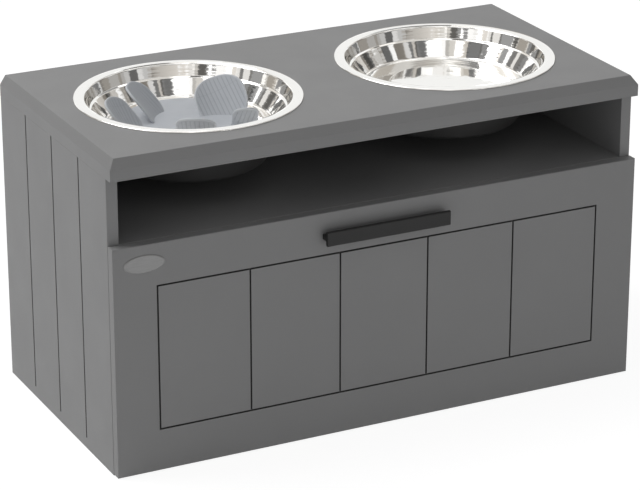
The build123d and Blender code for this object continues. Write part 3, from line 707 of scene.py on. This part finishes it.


# silicone: matt, with ribs along each petal and one part line across them, painted shade in the ribs and
# along the part line, and a painted highlight along the edges
# petalPlace holds mm across the petal, mm up it and mm in from its edge
def makeSilicone():
    material, tree, shader, place = startMaterial("blueGreySilicone", (0.46, 0.48, 0.52), roughness=0.55)
    where = addNode(tree, "ShaderNodeAttribute", attribute_name="petalPlace")
    parts = tree.nodes.new("ShaderNodeSeparateXYZ")
    join(tree, where.outputs["Vector"], parts.inputs[0])
    halfPitch = insert["ribPitch"] / 2
    wrapped = addMath(tree, "WRAP", parts.outputs["X"], -halfPitch, halfPitch)
    rib = addPulse(tree, wrapped, insert["ribReach"])
    above = addMath(tree, "SUBTRACT", parts.outputs["Y"], insert["partLine"])
    seam = addPulse(tree, above, insert["partReach"])
    # painted shade: the rib lines and the part line darken the colour, fading out near the edges
    inside = addSlope(tree, parts.outputs["Z"], *insert["ribShadeSlope"])
    cut = addMath(tree, "MULTIPLY", addMath(tree, "MAXIMUM", rib, seam), inside)
    edge = addSlope(tree, parts.outputs["Z"], *insert["edgeHighlightSlope"])

    cloud = addNoise(tree, place, 60.0, 3.0)
    base = mixColours(tree, cloud, (0.49, 0.515, 0.55), (0.55, 0.57, 0.605))
    # painted highlight: a paler colour along the petal and disc edges
    base = mixColours(tree, edge, base, (0.62, 0.64, 0.67))
    # painted shade in the rib lines and along the part line
    base = mixColours(tree, spread(tree, cut, 0.0, 0.42), base, (0.22, 0.24, 0.27))
    join(tree, base, shader.inputs["Base Color"])
    shader.inputs["Subsurface Weight"].default_value = 0.05
    shader.inputs["Subsurface Radius"].default_value = (0.0015, 0.0015, 0.0015)
    join(tree, spread(tree, addNoise(tree, place, 200.0, 3.0), 0.46, 0.64), shader.inputs["Roughness"])
    seamed = addBump(tree, addMath(tree, "MULTIPLY", seam, -1.0), 0.6, 0.0002)
    skin = addBump(tree, addNoise(tree, place, 900.0, 2.0), 0.25, 0.00006, seamed)
    join(tree, skin, shader.inputs["Normal"])
    return material


# one petal upright at the origin: x across, z up, bent round an upright axis in front of it
# x = w cos a; the sign of sin a picks the face
# z runs from the base or the blank's lower edge to its upper edge
# blank: a rectangle with corners of radius r, e its distance in from the edge
# half thickness = sqrt(h^2 - (h - e)^2) near the edge and h beyond
# bend angle = x / R, y = (R + out) cos(x / R) - R
# ribs: dips of depth d (3 k^2 - 2 k^3), k = 1 - |distance to the rib's line| / reach, faded at the edge
def petalGrid(halfWidth, length, roll, slant, columns=280, rows=50):
    low, high, r = -insert["below"], length, insert["tipShare"] * halfWidth
    half = insert["thickness"] / 2
    around = np.linspace(0.0, 2 * math.pi, columns, endpoint=False)
    x = halfWidth * np.cos(around)[None, :]
    face = np.sign(np.round(np.sin(around), 9))[None, :]
    corner = r - np.sqrt(r ** 2 - np.clip(np.abs(x) - halfWidth + r, 0.0, r) ** 2)
    bend = x / insert["curl"]
    y = (insert["curl"] + face * half) * np.cos(bend) - insert["curl"]
    turned = math.radians(roll)
    onBase = (y * math.tan(math.radians(insert["lean"])) + x * math.sin(turned)) / math.cos(turned)
    start = np.maximum(onBase, low + corner)
    up = np.sin(np.linspace(0.0, 1.0, rows) * math.pi / 2)[:, None]
    z = start + up * (high - corner - start)
    across = np.abs(x) - (halfWidth - r)
    along = np.abs(z - (low + high) / 2) - ((high - low) / 2 - r)
    past = np.hypot(np.maximum(across, 0.0), np.maximum(along, 0.0))
    edge = r - past - np.minimum(np.maximum(across, along), 0.0)
    h = np.clip(edge, 0.0, half)
    c, s = math.cos(math.radians(slant)), math.sin(math.radians(slant))
    ribs = (x * c + z * s) * 1000.0 / insert["ribPitch"]
    k = np.clip(1.0 - np.abs(ribs - np.round(ribs)) * insert["ribPitch"] / insert["ribReach"], 0.0, 1.0)
    fadeStart, fadeLength = insert["ribFade"]
    dip = k * k * (3.0 - 2.0 * k) * np.clip((edge - fadeStart) / fadeLength, 0.0, 1.0)
    depth = face * (np.sqrt(half ** 2 - (half - h) ** 2) - dip * insert["ribDepth"] / 1000.0)
    spans = np.broadcast_arrays(x, z, edge, depth)
    x, z, edge, depth = (np.concatenate([span[:1], span]) for span in spans)
    depth[0] = 0.0
    radius = insert["curl"] + depth
    bend = x / insert["curl"]
    grid = np.stack([radius * np.sin(bend), radius * np.cos(bend) - insert["curl"], z], axis=-1)
    return grid, np.stack([x * c + z * s, z * c - x * s, edge], axis=-1) * 1000.0


def turnAbout(axis, degrees):
    c, s = math.cos(math.radians(degrees)), math.sin(math.radians(degrees))
    if axis == "x":
        return np.array([(1, 0, 0), (0, c, -s), (0, s, c)])
    if axis == "y":
        return np.array([(c, 0, s), (0, 1, 0), (-s, 0, c)])
    return np.array([(c, -s, 0), (s, c, 0), (0, 0, 1)])


# insert: petals leaned, turned and set round a thin disc whose bead edge is a half circle of radius t / 2
def makeInsert(material):
    centre = np.array([-bowl["spacing"] / 2, bowl["y"], insert["floor"]])
    points, faces, places = [], [], []
    count = 0
    for rootAngle, distance, leanAngle, roll, halfWidth, length, slant in insert["petals"]:
        grid, place = petalGrid(halfWidth, length, roll, slant)
        tilt = turnAbout("z", leanAngle - 90) @ turnAbout("x", -insert["lean"]) @ turnAbout("y", roll)
        way = math.radians(rootAngle)
        root = np.array([distance * math.cos(way), distance * math.sin(way), insert["baseThickness"] / 2])
        placed = grid.reshape(-1, 3) @ tilt.T + root
        points.append(placed + centre)
        places.append(place.reshape(-1, 3))
        faces.append(gridQuads(*grid.shape[:2]) + count)
        count += len(placed)
    t, r = insert["baseThickness"], insert["baseRadius"]
    bead = np.linspace(-math.pi / 2, math.pi / 2, 9)
    outline = np.concatenate([
        [(0.0, 0.0)], [(r - t, 0.0)],
        np.stack([r - t / 2 + t / 2 * np.cos(bead), t / 2 + t / 2 * np.sin(bead)], axis=1),
        [(r - t, t)], [(0.0, t)],
    ])
    disc = spunGrid(outline, (0.0, 0.0), 144) + centre
    points.append(disc.reshape(-1, 3))
    faces.append(gridQuads(*disc.shape[:2]) + count)
    edge = np.repeat(np.maximum(r - outline[:, 0], 0.0) * 1000.0 + 0.8, disc.shape[1])
    places.append(np.stack([np.full_like(edge, insert["ribPitch"] / 2), edge * 0.0, edge], axis=1))

    mesh = bpy.data.meshes.new("slowFeedInsert")
    mesh.from_pydata(np.concatenate(points).tolist(), [], np.concatenate(faces).tolist())
    layer = mesh.attributes.new("petalPlace", "FLOAT_VECTOR", "POINT")
    layer.data.foreach_set("vector", np.concatenate(places).astype(np.float32).ravel())
    piece = finishMesh("slowFeedInsert", mesh, material)
    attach(piece, "insert")
    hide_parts("slow_feed_insert")


makeInsert(makeSilicone())
print("stage: insert made")


# oval plate

plate = {
    "x": -0.2666,
    "z": 0.228,
    "face": -0.144,
    "halfWidth": 0.02225,
    "halfHeight": 0.0095,
    "thickness": 0.0008,
    "domePower": 14,  # the higher, the flatter its middle
    "rimShare": 0.90,
    "rimWidth": 0.02,  # as a share of the plate
    "rimRise": 0.0002,
    "colour": (0.262, 0.262, 0.262),
}


# oval plate: share a from the middle out and angle b round it
# the front is a flat dome, t sqrt(1 - a^p), with a fine raised rim r exp(-((a - share) / width)^2)
def makePlate():
    a = np.concatenate([np.linspace(0.0, 0.8, 14), np.linspace(0.82, 1.0, 24)])[:, None]
    b = np.linspace(0.0, 2 * math.pi, 128, endpoint=False)[None, :]
    dome = plate["thickness"] * (1 - a ** plate["domePower"]) ** 0.5
    dome = dome + plate["rimRise"] * np.exp(-((a - plate["rimShare"]) / plate["rimWidth"]) ** 2)
    front = np.stack(np.broadcast_arrays(
        plate["x"] + plate["halfWidth"] * a * np.cos(b),
        plate["face"] - dome,
        plate["z"] + plate["halfHeight"] * a * np.sin(b),
    ), axis=-1)
    back = np.stack(np.broadcast_arrays(
        plate["x"] + plate["halfWidth"] * a[::-1] * np.cos(b),
        np.full_like(a, plate["face"]),
        plate["z"] + plate["halfHeight"] * a[::-1] * np.sin(b),
    ), axis=-1)
    material = makeMetal("brushedPlate", plate["colour"], 0.38, (0.05, 1.0, 1.0), 1400.0, 0.55, 0.00002)
    piece = gridPiece("ovalPlate", np.concatenate([front, back]), material)
    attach(piece, "drawer")


makePlate()
print("stage: plate made")

print("stage: done")
